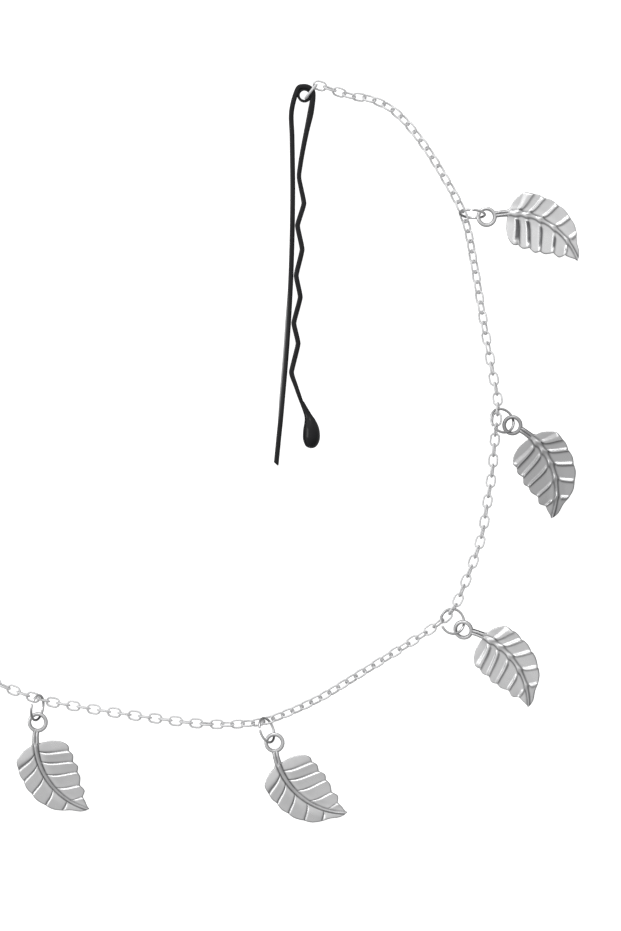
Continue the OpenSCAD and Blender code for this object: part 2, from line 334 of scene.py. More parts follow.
def main_axes(points: np.ndarray, triangles: np.ndarray) -> tuple[np.ndarray, np.ndarray]:
    """Finds the middle and the main axes of a surface, each triangle weighed by its area.

    Args:
        points: The surface's points.
        triangles: Its triangles.

    Returns:
        The middle, and a right-handed turn whose columns are the longest, middle and shortest axis.
    """
    a, b, c = points[triangles[:, 0]], points[triangles[:, 1]], points[triangles[:, 2]]
    area = np.linalg.norm(np.cross(b - a, c - a), axis=1)
    centres = (a + b + c) / 3
    middle = (centres * area[:, None]).sum(axis=0) / area.sum()
    away = centres - middle
    _, axes = np.linalg.eigh((away * area[:, None]).T @ away)
    turn = axes[:, ::-1].copy()
    turn[:, 2] *= np.sign(np.linalg.det(turn))
    return middle, turn


# Seating: points of the solid that are used, steps for each first guess, steps for the best one, and
# the four ways in which one set of axes can lie on another
SEAT_POINTS = 500
GUESS_STEPS = 4
SEAT_STEPS = 24
AXIS_SIGNS = ((1, 1, 1), (1, -1, -1), (-1, 1, -1), (-1, -1, 1))


def drawn_onto(tree: BVHTree, targets: np.ndarray, place: np.ndarray,
               steps: int) -> tuple[float, np.ndarray]:
    """Draws a placed surface step by step onto points.

    Args:
        tree: The surface in its own frame.
        targets: The points that it is to lie on.
        place: Its place at the start, a 4 by 4 matrix in millimetres.
        steps: The number of steps.

    Returns:
        The mean gap before the last step, and the place after it.
    """
    gap = math.inf
    for _ in range(steps):
        local = (targets - place[:3, 3]) @ place[:3, :3]
        near = np.array([tree.find_nearest(Vector(p))[0] for p in local])
        gap = float(np.sqrt(((near - local)**2).sum(axis=1).mean()))
        mean_near, mean_target = near.mean(axis=0), targets.mean(axis=0)
        u, _, vt = np.linalg.svd((near - mean_near).T @ (targets - mean_target))
        flip = np.diag([1, 1, np.sign(np.linalg.det(vt.T @ u.T))])
        place = np.eye(4)
        place[:3, :3] = vt.T @ flip @ u.T
        place[:3, 3] = mean_target - place[:3, :3] @ mean_near
    return gap, place


def seat_on(shell: Shell, solid: Solid) -> np.ndarray:
    """Finds the place that lays a shell on the solid that it stands for.

    The first guess lays main axes on main axes, each of the four ways, and the best is then drawn
    onto the solid's points.

    Args:
        shell: The shell in its own frame.
        solid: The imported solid.

    Returns:
        A 4 by 4 matrix in millimetres.
    """
    tree = BVHTree.FromPolygons(shell.points.tolist(), shell.faces)
    own_middle, own_turn = main_axes(shell.points, shell.triangles())
    middle, turn = main_axes(solid.points, solid.triangles)
    targets = solid.points[::max(1, len(solid.points) // SEAT_POINTS)]
    guesses = []
    for signs in AXIS_SIGNS:
        first = np.eye(4)
        first[:3, :3] = turn @ np.diag(signs) @ own_turn.T
        first[:3, 3] = middle - first[:3, :3] @ own_middle
        guesses.append(drawn_onto(tree, targets, first, GUESS_STEPS))
    best = min(guesses, key=lambda guess: guess[0])
    gap, place = drawn_onto(tree, targets, best[1], SEAT_STEPS)
    log.info("seated with a mean gap of %.3f mm", gap)
    return place


# Node trees

class NodeMaker:
    """Adds nodes to a tree, one call for each node."""

    def __init__(self, tree: bpy.types.NodeTree) -> None:
        """Starts with a tree that may already hold nodes."""
        self.tree = tree

    def add(self, kind: str, inputs: Optional[dict[Any, Any]] = None, **settings: Any) -> bpy.types.Node:
        """Adds a node.

        Args:
            kind: The node's type name.
            inputs: By input name or number, a value, or the output socket of another node.
            **settings: Properties of the node.

        Returns:
            The node.
        """
        node = self.tree.nodes.new(kind)
        for name, value in settings.items():
            setattr(node, name, value)
        for key, value in (inputs or {}).items():
            self.feed(node.inputs[key], value)
        return node

    def feed(self, socket: bpy.types.NodeSocket, value: Any) -> None:
        """Gives an input a value, or a link where the value is another node's output.

        Args:
            socket: The input.
            value: The value or the output.
        """
        if isinstance(value, bpy.types.NodeSocket):
            self.tree.links.new(value, socket)
        else:
            socket.default_value = value

    def maths(self, operation: str, *values: Any) -> bpy.types.NodeSocket:
        """Adds a maths node and returns its result."""
        return self.add("ShaderNodeMath", dict(enumerate(values)), operation=operation).outputs[0]

    def blend(self, share: Any, first: Any, second: Any, kind: str = "FLOAT") -> bpy.types.NodeSocket:
        """Adds a mix of two numbers or of two colours.

        Args:
            share: The second one's share, from 0 to 1.
            first: A value or an output.
            second: A value or an output.
            kind: FLOAT for numbers, RGBA for colours.

        Returns:
            The mix.
        """
        node = self.add("ShaderNodeMix", {0: share}, data_type=kind)
        socket_type = "RGBA" if kind == "RGBA" else "VALUE"
        for name, value in (("A", first), ("B", second)):
            self.feed(next(s for s in node.inputs if s.name == name and s.type == socket_type), value)
        return next(s for s in node.outputs if s.type == socket_type)


def new_tree(name: str, kind: str, inputs: dict[str, str], outputs: dict[str, str]) -> NodeMaker:
    """Makes an empty node group with named sockets.

    Args:
        name: The group's name.
        kind: ShaderNodeTree or GeometryNodeTree.
        inputs: Socket type by input name.
        outputs: Socket type by output name.

    Returns:
        A maker for the group's nodes.
    """
    tree = bpy.data.node_groups.new(name, kind)
    for side, sockets in (("INPUT", inputs), ("OUTPUT", outputs)):
        for socket, socket_type in sockets.items():
            tree.interface.new_socket(name=socket, in_out=side, socket_type=socket_type)
    return NodeMaker(tree)


def grown_mesh(name: str, base: bpy.types.Mesh, tree: bpy.types.NodeTree,
               values: dict[str, Any]) -> bpy.types.Mesh:
    """Runs a geometry tree on a mesh and returns the result as a plain mesh.

    Args:
        name: The new mesh's name.
        base: The mesh that the tree starts from.
        tree: The tree.
        values: Values for the tree's inputs, by name.

    Returns:
        The new mesh, with nothing live on it.
    """
    carrier = bpy.data.objects.new(name + "_base", base)
    bpy.context.scene.collection.objects.link(carrier)
    modifier = carrier.modifiers.new("grow", "NODES")
    modifier.node_group = tree
    for item in tree.interface.items_tree:
        if item.item_type == "SOCKET" and item.in_out == "INPUT" and item.name in values:
            modifier[item.identifier] = values[item.name]
    ready = carrier.evaluated_get(bpy.context.evaluated_depsgraph_get())
    mesh = bpy.data.meshes.new_from_object(ready)
    mesh.name = name
    carrier.modifiers.remove(modifier)
    bpy.data.objects.remove(carrier)
    return mesh


# Finishes

def handling_marks() -> bpy.types.NodeTree:
    """Makes the shader group that all the finishes share: fine grain, and broad cloudy patches.

    Returns:
        The group, built by the first call.
    """
    made = bpy.data.node_groups.get("handling_marks")
    if made:
        return made
    maker = new_tree("handling_marks", "ShaderNodeTree",
                     {"Place": "NodeSocketVector", "Grain Scale": "NodeSocketFloat",
                      "Patch Scale": "NodeSocketFloat", "Patch Share": "NodeSocketFloat"},
                     {"Mask": "NodeSocketFloat", "Height": "NodeSocketFloat"})
    given = maker.add("NodeGroupInput").outputs
    grain = maker.add("ShaderNodeTexNoise", {"Vector": given["Place"], "Scale": given["Grain Scale"],
                                             "Detail": 3.0, "Roughness": 0.6})
    patch = maker.add("ShaderNodeTexNoise", {"Vector": given["Place"], "Scale": given["Patch Scale"],
                                             "Detail": 2.0, "Roughness": 0.5})
    spread = maker.add("ShaderNodeMapRange", {"Value": patch.outputs[0], "From Min": 0.35, "From Max": 0.65})
    mask = maker.blend(given["Patch Share"], grain.outputs[0], spread.outputs[0])
    maker.add("NodeGroupOutput", {"Mask": mask, "Height": grain.outputs[0]})
    return maker.tree


@dataclass(frozen=True)
class Finish:
    """What every finish has: its name, and the scales of its marks in marks per metre."""

    name: str
    grain: float
    patches: float
    patch_share: float = 0.6
    bump_strength: float = 0.15
    bump_depth: float = 0.004

    def start(self) -> tuple[bpy.types.Material, NodeMaker, bpy.types.Node, bpy.types.NodeSocket]:
        """Makes the material, with the marks on Object coordinates as its bump.

        Returns:
            The material, a maker for its nodes, its shader, and the marks' mask.
        """
        material = bpy.data.materials.new(self.name)
        material.use_nodes = True
        maker = NodeMaker(material.node_tree)
        shader = material.node_tree.nodes["Principled BSDF"]
        marks = maker.add("ShaderNodeGroup", node_tree=handling_marks())
        place = maker.add("ShaderNodeTexCoord").outputs["Object"]
        for key, value in (("Place", place), ("Grain Scale", self.grain), ("Patch Scale", self.patches),
                           ("Patch Share", self.patch_share)):
            maker.feed(marks.inputs[key], value)
        bump = maker.add("ShaderNodeBump", {"Height": marks.outputs["Height"], "Strength": self.bump_strength,
                                            "Distance": self.bump_depth * MM})
        maker.feed(shader.inputs["Normal"], bump.outputs[0])
        return material, maker, shader, marks.outputs["Mask"]


@dataclass(frozen=True)
class SilverPlate(Finish):
    """Bright silver plate on drawn wire, dull in patches."""

    dull: Colour = grey(0.25)
    bright: Colour = grey(0.84)
    smooth: float = 0.13
    rough: float = 0.26

    def build(self) -> bpy.types.Material:
        """Makes the material.

        Returns:
            The material.
        """
        material, maker, shader, mask = self.start()
        maker.feed(shader.inputs["Base Color"], maker.blend(mask, self.bright, self.dull, "RGBA"))
        maker.feed(shader.inputs["Roughness"], maker.blend(mask, self.smooth, self.rough))
        maker.feed(shader.inputs["Metallic"], 1.0)
        return material


@dataclass(frozen=True)
class SatinPlate(Finish):
    """Satin silver plate on cast metal, with painted shade where the mask says so, and a whole leaf darkened
    by painted shade where its piece shade says so.
    """

    bump_strength: float = 0.3
    bump_depth: float = 0.008
    clean: Colour = grey(0.82)
    cloudy: Colour = grey(0.72)
    # Grey for painted shade over a whole leaf that lies darker in the light
    piece_shade_grey: Colour = grey(0.50)
    # Near-black grey of the painted shade that darkens the leaves' grooves, moat, rims, midrib, stem and eye
    painted_shade: Colour = grey(0.09)
    smooth: float = 0.24
    rough: float = 0.38
    matt: float = 0.55
    least_shade: float = 0.85
    patchy_shade: float = 0.3

    def build(self) -> bpy.types.Material:
        """Makes the material.

        Returns:
            The material.
        """
        material, maker, shader, mask = self.start()
        # The mask attribute holds painted shade, made a little patchy by the marks
        shade_mask = maker.add("ShaderNodeAttribute", attribute_name="mask").outputs["Fac"]
        age = maker.add("ShaderNodeAttribute", attribute_name="age").outputs["Fac"]
        patchy = maker.maths("MULTIPLY_ADD", mask, self.patchy_shade, self.least_shade)
        depth = maker.maths("MINIMUM", maker.maths("MULTIPLY", shade_mask, patchy), 1.0)
        metal = maker.blend(age, maker.blend(mask, self.clean, self.cloudy, "RGBA"), self.piece_shade_grey, "RGBA")
        satin = maker.blend(mask, self.smooth, self.rough)
        maker.feed(shader.inputs["Base Color"], maker.blend(depth, metal, self.painted_shade, "RGBA"))
        maker.feed(shader.inputs["Roughness"], maker.blend(depth, satin, self.matt))
        maker.feed(shader.inputs["Metallic"], 1.0)
        return material


@dataclass(frozen=True)
class BlackEnamel(Finish):
    """Gloss black enamel on flat steel wire, with a painted grey sheen where the mask says so."""

    bump_strength: float = 0.2
    bump_depth: float = 0.01
    deep: Colour = grey(0.004, 0.001)
    worn: Colour = grey(0.012, 0.001)
    # Grey of the painted sheen on the straight leg's edge
    sheen_grey: Colour = grey(0.42)
    smooth: float = 0.20
    rough: float = 0.34
    sheen: float = 0.1
    lacquer: float = 0.3
    lacquer_rough: float = 0.05

    def build(self) -> bpy.types.Material:
        """Makes the material.

        Returns:
            The material.
        """
        material, maker, shader, mask = self.start()
        painted_sheen = maker.add("ShaderNodeAttribute", attribute_name="mask").outputs["Fac"]
        black = maker.blend(mask, self.deep, self.worn, "RGBA")
        # Painted sheen: the enamel turns grey where the mask attribute says so
        maker.feed(shader.inputs["Base Color"], maker.blend(painted_sheen, black, self.sheen_grey, "RGBA"))
        maker.feed(shader.inputs["Roughness"], maker.blend(mask, self.smooth, self.rough))
        maker.feed(shader.inputs["Specular IOR Level"], self.sheen)
        maker.feed(shader.inputs["Coat Weight"], self.lacquer)
        maker.feed(shader.inputs["Coat Roughness"], self.lacquer_rough)
        return material


# Chain and rings

@dataclass
class CableChain:
    """The chain: oval wire links that go through each other, each turned against the next.

    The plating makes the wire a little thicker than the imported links' wire. Steep is the factor that
    turns a place in metres into the side of the link that it lies on.
    """

    node: str
    slot: str
    material: bpy.types.Material
    round_link: int = 20
    round_wire: int = 8
    plating: float = 0.035
    steep: float = 1e5
    sharp_angle: float = 80.0

    def tree(self) -> bpy.types.NodeTree:
        """Makes the tree that sets an oval wire link on each point, turned by the point's attribute.

        Returns:
            The geometry tree.
        """
        maker = new_tree("cable_links", "GeometryNodeTree",
                         {"Geometry": "NodeSocketGeometry", "Link Length": "NodeSocketFloat",
                          "Link Width": "NodeSocketFloat", "Wire": "NodeSocketFloat",
                          "Round Link": "NodeSocketInt", "Round Wire": "NodeSocketInt",
                          "Finish": "NodeSocketMaterial"},
                         {"Geometry": "NodeSocketGeometry"})
        given = maker.add("NodeGroupInput").outputs
        half_wire = maker.maths("DIVIDE", given["Wire"], 2.0)
        end_radius = maker.maths("SUBTRACT", maker.maths("DIVIDE", given["Link Width"], 2.0), half_wire)
        circle = maker.add("GeometryNodeCurvePrimitiveCircle",
                           {"Resolution": given["Round Link"], "Radius": end_radius})
        place = maker.add("GeometryNodeInputPosition").outputs[0]
        along = maker.add("ShaderNodeSeparateXYZ", {0: place}).outputs["X"]
        side = maker.add("ShaderNodeClamp", {"Value": maker.maths("MULTIPLY", along, self.steep),
                                             "Min": -1.0, "Max": 1.0}).outputs[0]
        longer = maker.maths("SUBTRACT", given["Link Length"], given["Link Width"])
        pull = maker.maths("MULTIPLY", side, maker.maths("DIVIDE", longer, 2.0))
        offset = maker.add("ShaderNodeCombineXYZ", {"X": pull}).outputs[0]
        oval = maker.add("GeometryNodeSetPosition", {"Geometry": circle.outputs[0], "Offset": offset})
        wire = maker.add("GeometryNodeCurvePrimitiveCircle",
                         {"Resolution": given["Round Wire"], "Radius": half_wire})
        link = maker.add("GeometryNodeCurveToMesh",
                         {"Curve": oval.outputs[0], "Profile Curve": wire.outputs[0]})
        turned = maker.add("GeometryNodeInputNamedAttribute", {"Name": "link_turn"}, data_type="FLOAT_VECTOR")
        turn = maker.add("FunctionNodeEulerToRotation",
                         {0: next(s for s in turned.outputs if s.type == "VECTOR")})
        links = maker.add("GeometryNodeInstanceOnPoints",
                          {"Points": given["Geometry"], "Instance": link.outputs[0],
                           "Rotation": turn.outputs[0]})
        real = maker.add("GeometryNodeRealizeInstances", {"Geometry": links.outputs[0]})
        dressed = maker.add("GeometryNodeSetMaterial",
                            {"Geometry": real.outputs[0], "Material": given["Finish"]})
        maker.add("NodeGroupOutput", {"Geometry": dressed.outputs[0]})
        return maker.tree

    def build(self) -> bpy.types.Object:
        """Reads each link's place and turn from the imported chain, and sets the links there.

        Returns:
            The chain's piece.
        """
        places, turns, sizes = [], [], []
        for part in Solid.of_node(self.node).loose_parts():
            _, axes = main_axes(part.points, part.triangles)
            local = part.points @ axes
            low, high = local.min(axis=0), local.max(axis=0)
            places.append(axes @ (low + high) / 2 * MM)
            turns.append(tuple(Matrix(axes.tolist()).to_euler("XYZ")))
            sizes.append(high - low)
        length, width, wire = (np.median(np.array(sizes), axis=0) + 2 * self.plating) * MM
        log.info("%d links of %.2f by %.2f mm, wire %.2f mm",
                 len(places), length / MM, width / MM, wire / MM)
        base = bpy.data.meshes.new("link_places")
        base.from_pydata(places, [], [])
        base.attributes.new("link_turn", "FLOAT_VECTOR", "POINT").data.foreach_set(
            "vector", np.array(turns, dtype=np.float32).reshape(-1))
        mesh = grown_mesh("cable_chain", base, self.tree(), {
            "Link Length": float(length), "Link Width": float(width), "Wire": float(wire),
            "Round Link": self.round_link, "Round Wire": self.round_wire, "Finish": self.material})
        close_mesh(mesh, self.sharp_angle)
        return new_piece("cable_chain", mesh, [self.node])


class RingEnds(Enum):
    """How the two ends of a ring's wire meet."""

    SAWN = "a saw cut stays open"
    SOLDERED = "the ends are soldered and dressed round"


@dataclass
class WireRing:
    """A ring of round wire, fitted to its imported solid."""

    node: str
    slot: str
    ends: RingEnds
    material: bpy.types.Material
    steps: int = 96
    round_wire: int = 14
    end_taper: float = 0.82
    sharp_angle: float = 60.0

    @staticmethod
    def tree() -> bpy.types.NodeTree:
        """Makes the tree that bends a round wire into a ring, whole or with a gap round the X axis.

        Returns:
            The geometry tree, built by the first call.
        """
        made = bpy.data.node_groups.get("wire_ring")
        if made:
            return made
        maker = new_tree("wire_ring", "GeometryNodeTree",
                         {"Geometry": "NodeSocketGeometry", "Ring Radius": "NodeSocketFloat",
                          "Wire": "NodeSocketFloat", "Gap Angle": "NodeSocketFloat", "Open": "NodeSocketBool",
                          "Steps": "NodeSocketInt", "Round Wire": "NodeSocketInt",
                          "End Taper": "NodeSocketFloat", "Finish": "NodeSocketMaterial"},
                         {"Geometry": "NodeSocketGeometry"})
        given = maker.add("NodeGroupInput").outputs
        whole = maker.add("GeometryNodeCurvePrimitiveCircle",
                          {"Resolution": given["Steps"], "Radius": given["Ring Radius"]})
        start = maker.maths("DIVIDE", given["Gap Angle"], 2.0)
        sweep = maker.maths("SUBTRACT", 2 * math.pi, given["Gap Angle"])
        cut = maker.add("GeometryNodeCurveArc",
                        {"Resolution": given["Steps"], "Radius": given["Ring Radius"],
                         "Start Angle": start, "Sweep Angle": sweep})
        line = maker.add("GeometryNodeSwitch",
                         {"Switch": given["Open"], "False": whole.outputs[0], "True": cut.outputs[0]},
                         input_type="GEOMETRY")
        at_end = maker.add("GeometryNodeCurveEndpointSelection").outputs[0]
        tapered = maker.maths("MULTIPLY", given["Open"], at_end)
        scale = maker.blend(tapered, 1.0, given["End Taper"])
        half_wire = maker.maths("DIVIDE", given["Wire"], 2.0)
        section = maker.add("GeometryNodeCurvePrimitiveCircle",
                            {"Resolution": given["Round Wire"], "Radius": half_wire})
        ring = maker.add("GeometryNodeCurveToMesh",
                         {"Curve": line.outputs[0], "Profile Curve": section.outputs[0], "Scale": scale,
                          "Fill Caps": given["Open"]})
        real = maker.add("GeometryNodeRealizeInstances", {"Geometry": ring.outputs[0]})
        dressed = maker.add("GeometryNodeSetMaterial",
                            {"Geometry": real.outputs[0], "Material": given["Finish"]})
        maker.add("NodeGroupOutput", {"Geometry": dressed.outputs[0]})
        return maker.tree

    def build(self) -> bpy.types.Object:
        """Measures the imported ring, and bends the wire to the same circle with its gap in the same place.

        Returns:
            The ring's piece.
        """
        solid = Solid.of_node(self.node)
        middle, axes = main_axes(solid.points, solid.triangles)
        flat = (solid.points - middle) @ axes
        circle = np.c_[2 * flat[:, :2], np.ones(len(flat))]
        fit = np.linalg.lstsq(circle, (flat[:, :2]**2).sum(axis=1), rcond=None)[0]
        flat[:, :2] -= fit[:2]
        reach = np.hypot(flat[:, 0], flat[:, 1])
        wire = reach.max() - reach.min()
        angles = np.sort(np.arctan2(flat[:, 1], flat[:, 0]))
        steps = np.diff(np.r_[angles, angles[0] + 2 * math.pi])
        widest = int(steps.argmax())
        gap_at = angles[widest] + steps[widest] / 2
        place = np.eye(4)
        place[:3, :3] = axes @ np.array([[math.cos(gap_at), -math.sin(gap_at), 0],
                                         [math.sin(gap_at), math.cos(gap_at), 0], [0, 0, 1]])
        place[:3, 3] = (middle + axes[:, :2] @ fit[:2]) * MM
        name = self.node + "_wire"
        mesh = grown_mesh(name, bpy.data.meshes.new(self.node + "_start"), self.tree(), {
            "Ring Radius": float((reach.max() + reach.min()) / 2 * MM), "Wire": float(wire * MM),
            "Gap Angle": float(steps[widest]), "Open": self.ends is RingEnds.SAWN, "Steps": self.steps,
            "Round Wire": self.round_wire, "End Taper": self.end_taper, "Finish": self.material})
        mesh.transform(Matrix(place.tolist()))
        close_mesh(mesh, self.sharp_angle)
        return new_piece(name, mesh, [self.node])


# Leaf charms

# Rows of the blade, from its base to its tip. Columns: place on the midrib, then along and out of the
# left margin and of the right margin. Places along are shares of the leaf's length, and out is the
# distance from the midrib's arc as a share of the blade's width.
LEAF_ROWS = (
    (0.188, 0.195, 0.140, 0.172, 0.100),
    (0.195, 0.225, 0.315, 0.174, 0.225),
    (0.207, 0.282, 0.490, 0.205, 0.355),
    (0.221, 0.350, 0.590, 0.235, 0.410),
    (0.238, 0.398, 0.570, 0.310, 0.405),
    (0.286, 0.456, 0.605, 0.374, 0.408),
    (0.337, 0.512, 0.545, 0.436, 0.383),
    (0.405, 0.576, 0.575, 0.510, 0.402),
    (0.473, 0.621, 0.505, 0.586, 0.378),
    (0.551, 0.680, 0.480, 0.662, 0.384),
    (0.629, 0.746, 0.362, 0.748, 0.343),
    (0.714, 0.815, 0.337, 0.818, 0.320),
    (0.803, 0.859, 0.208, 0.876, 0.247),
    (0.878, 0.912, 0.147, 0.915, 0.155),
    (0.946, 0.963, 0.064, 0.973, 0.107),
    (0.990, 0.996, 0.020, 0.994, 0.035))
LAST_ROW = len(LEAF_ROWS) - 1
# Rows that a side vein runs along; a panel of the blade lies between one and the next
VEIN_ROWS = (4, 6, 8, 10, 12)
# Steps from one row to the next where the rows are drawn as a smooth curve
ROW_STEPS = 24
# Places across a panel, from the vein at its base to the next vein
PANEL_STEPS = (0.0, 0.03, 0.06, 0.09, 0.125, 0.17, 0.22, 0.29, 0.38, 0.48, 0.58, 0.68, 0.77, 0.85,
               0.91, 0.955, 0.98)
# Places from the midrib to the margin
OUT_STEPS = (0.02, 0.04, 0.06, 0.08, 0.1, 0.125, 0.15, 0.19, 0.24, 0.3, 0.38, 0.47, 0.56, 0.65, 0.74,
             0.82, 0.885, 0.93, 0.96, 0.985)


class Side(IntEnum):
    """Sides of the midrib, seen from above with the tip on +X."""

    LEFT = 1
    RIGHT = -1


class Face(IntEnum):
    """Faces of the leaf."""

    UPPER = 1
    LOWER = -1


# Gives the point and the painted shade at a side, a place out and a face
PointAt = Callable[[Side, float, Face], tuple[list[float], float]]


@dataclass(frozen=True)
class BladeRow:
    """A row across the blade from margin to margin, in the panel between two side veins.

    The share runs from 0 at the panel's base to 1 at its end, along is the place on the midrib as a
    share of the leaf's length, and pitch is the panel's length in millimetres.
    """

    mid: np.ndarray
    ends: dict[Side, np.ndarray]
    share: float
    along: float
    pitch: float
    base_vein: bool
    end_vein: bool


@dataclass(frozen=True)
class Spot:
    """A spot of the blade, as its relief needs it.

    Out is its place from the midrib, 0, to the margin, 1. Off is its distance from the midrib's arc.
    From_veins are the distances along the midrib from each vein's root. Ramp is 0 at the midrib and
    1 where the relief is full, and taper falls from the leaf's base to its tip.
    """

    row: BladeRow
    side: Side
    out: float
    off: float
    to_margin: float
    from_base: float
    to_end: float
    from_veins: tuple[float, ...]
    midrib_half: float
    taper: float
    ramp: float


@dataclass(frozen=True)
class FaceRelief:
    """The leaf's face: bevelled panels between sunk side veins, and a smooth midrib in a moat.

    A value named dark is the painted shade there, from 0 to 1, and a value named half is half a width.
    """

    crest: float = 0.28
    bevel: float = 0.40
    slope_power: float = 1.15
    groove: float = 0.07
    groove_half: float = 0.13
    groove_clear: Span = (0.1, 0.45)
    groove_fade_left: float = 0.65
    groove_fade_right: float = 0.2
    midrib_share: float = 0.8
    midrib_rise: float = 0.26
    midrib_dark: float = 0.35
    moat_at: float = 1.12
    moat_half: float = 0.12
    moat_depth: float = 0.09
    moat_dark: float = 0.95
    moat_fade: float = 0.3
    margin_half: float = 0.12
    margin_dark: float = 0.75

    def at(self, spot: Spot) -> tuple[float, float]:
        """Gives the relief at a spot.

        Args:
            spot: The spot.

        Returns:
            The height over the plain blade's upper face, and the painted shade.
        """
        row = spot.row
        rise = near = 0.0
        if row.base_vein:
            rise = smooth_step(0.0, self.bevel, spot.from_base) * (1 - row.share)**self.slope_power
            near += bell(spot.from_base, self.groove_half)
        if row.end_vein:
            near += bell(spot.to_end, self.groove_half)
        fade = self.groove_fade_left if spot.side is Side.LEFT else self.groove_fade_right
        # Painted shade along the vein grooves, fading towards the margin; the grooves sink with it
        painted_shade = near * (1 - fade * spot.out) * smooth_step(*self.groove_clear, spot.off)
        height = self.crest * rise * spot.ramp - self.groove * painted_shade
        half = self.midrib_share * spot.midrib_half
        moat = bell(spot.off - half * self.moat_at, self.moat_half)
        height += self.midrib_rise * spot.taper * dome(spot.off, half) - self.moat_depth * moat
        # Painted shade in the moat round the midrib, and as a dark outline along the margin
        painted_shade = max(painted_shade, moat * (self.moat_dark - self.moat_fade * row.along),
                      self.margin_dark * bell(spot.to_margin, self.margin_half))
        # Painted shade over the midrib, to darken its bright flank
        if spot.off < half:
            painted_shade = max(painted_shade, self.midrib_dark)
        return height, min(painted_shade, 1.0)


@dataclass(frozen=True)
class RidgeRun:
    """Where the ridges of one side rise: clear of the midrib, and towards the margin; dark is the painted
    shade at their feet.
    """

    clear: Span
    inside: Span
    dark: float


@dataclass(frozen=True)
class BackRelief:
    """The leaf's back: raised round ridges under the side veins, and a knotty midrib in a moat.

    A value named dark is the painted shade there, from 0 to 1, and a value named half is half a width. On the
    left side a knob stands for the last ridge. Rods are ridges on the left darkened with a painted dark
    reflection.
    """

    ridge: float = 0.2
    ridge_half: float = 0.36
    ridge_top: float = 0.45
    sink: float = 0.112
    left: RidgeRun = RidgeRun(clear=(0.70, 1.0), inside=(0.10, 0.50), dark=0.62)
    right: RidgeRun = RidgeRun(clear=(0.5, 0.75), inside=(0.0, 0.35), dark=0.42)
    foot_at: float = 1.1
    foot_half: float = 0.13
    foot_end: float = 0.3
    foot_fade: float = 0.5
    knob_reach: float = 0.882
    knob_at: float = 0.86
    knob_r: float = 0.34
    rod_dark: float = 0.0
    rod_clear: Span = (0.75, 0.95)
    rod_inside: Span = (0.6, 1.0)
    rod_crest: Span = (0.05, 0.35)
    midrib_share: float = 0.8
    midrib_rise: float = 0.16
    knot_share: float = 0.5
    knot_rise: float = 0.14
    knot_half: float = 0.42
    moat_at: float = 1.15
    moat_half: float = 0.15
    moat_dark: float = 0.72
    margin_half: float = 0.12
    margin_dark: float = 0.45

    def at(self, spot: Spot) -> tuple[float, float]:
        """Gives the relief at a spot.

        Args:
            spot: The spot.

        Returns:
            The depth under the plain blade's lower face, and the painted shade.
        """
        crest, foot = self.ridge_and_foot(spot)
        run = self.left if spot.side is Side.LEFT else self.right
        shown = smooth_step(*run.clear, spot.off) * smooth_step(*run.inside, spot.to_margin)
        knob = 0.0
        if spot.side is Side.LEFT and abs(spot.from_veins[-1]) < self.knob_reach:
            shown = 0.0
            knob = dome(math.hypot(spot.from_veins[-1], spot.off - self.knob_at), self.knob_r)
        depth = self.ridge * max(crest * shown, knob) - self.sink * spot.ramp * (1 - crest)
        # Painted shade at the ridges' feet
        painted_shade = run.dark * foot * shown * (1 - self.foot_fade * spot.out)
        # Painted dark reflection on the crests of the left ridges
        if spot.side is Side.LEFT:
            rod = smooth_step(*self.rod_clear, spot.off) * smooth_step(*self.rod_inside, spot.to_margin)
            painted_shade = max(painted_shade, self.rod_dark * smooth_step(*self.rod_crest, crest) * rod)
        knot = max(bell(away, self.knot_half) for away in spot.from_veins)
        half = spot.midrib_half * (self.midrib_share + self.knot_share * knot)
        depth += (self.midrib_rise + self.knot_rise * knot) * dome(spot.off, half)
        # Painted shade in the moat round the midrib, and as a dark outline along the margin
        painted_shade = max(painted_shade, self.moat_dark * bell(spot.off - half * self.moat_at, self.moat_half),
                      self.margin_dark * bell(spot.to_margin, self.margin_half))
        return depth, min(painted_shade, 1.0)

    def ridge_and_foot(self, spot: Spot) -> tuple[float, float]:
        """Says how near a spot lies to the ridges and to their feet.

        Args:
            spot: The spot.

        Returns:
            How much of a ridge's height it has, and how much of the painted shade at a ridge's foot.
        """
        crest = foot = 0.0
        row = spot.row
        for vein, away, dark in ((row.base_vein, spot.from_base, 1.0),
                                 (row.end_vein, spot.to_end, self.foot_end)):
            if vein:
                crest = max(crest, 1 - smooth_step(self.ridge_half * self.ridge_top, self.ridge_half, away))
                foot = max(foot, dark * bell(away - self.ridge_half * self.foot_at, self.foot_half))
        return crest, foot


@dataclass(frozen=True)
class StemSection:
    """Section of the stem: two round ribs with a groove between them, as shares of its half sizes; the dark
    values are painted shade, over the whole stem and most in its groove and at its sides.
    """

    rib_at: float = 0.46
    rib_half: float = 0.54
    groove_half: float = 0.12
    groove_height: float = 0.77
    least_dark: float = 0.36
    groove_dark: float = 0.85
    groove_dark_half: float = 0.2
    edge_dark: float = 0.9
    edge: Span = (0.66, 0.92)

    def at(self, out: float) -> tuple[float, float]:
        """Gives the section at a place out.

        Args:
            out: The place, from 0 in the middle to 1 at the side.

        Returns:
            The height as a share of the stem's half height, and the painted shade.
        """
        height = dome(out - self.rib_at, self.rib_half) if out > self.groove_half else self.groove_height
        # Painted shade: some everywhere, more in the groove, most at the sides where a round stem turns dark
        painted_shade = max(self.least_dark, self.groove_dark * bell(out, self.groove_dark_half),
                      self.edge_dark * smooth_step(*self.edge, out))
        return (height if out < 1 else 0.0), painted_shade


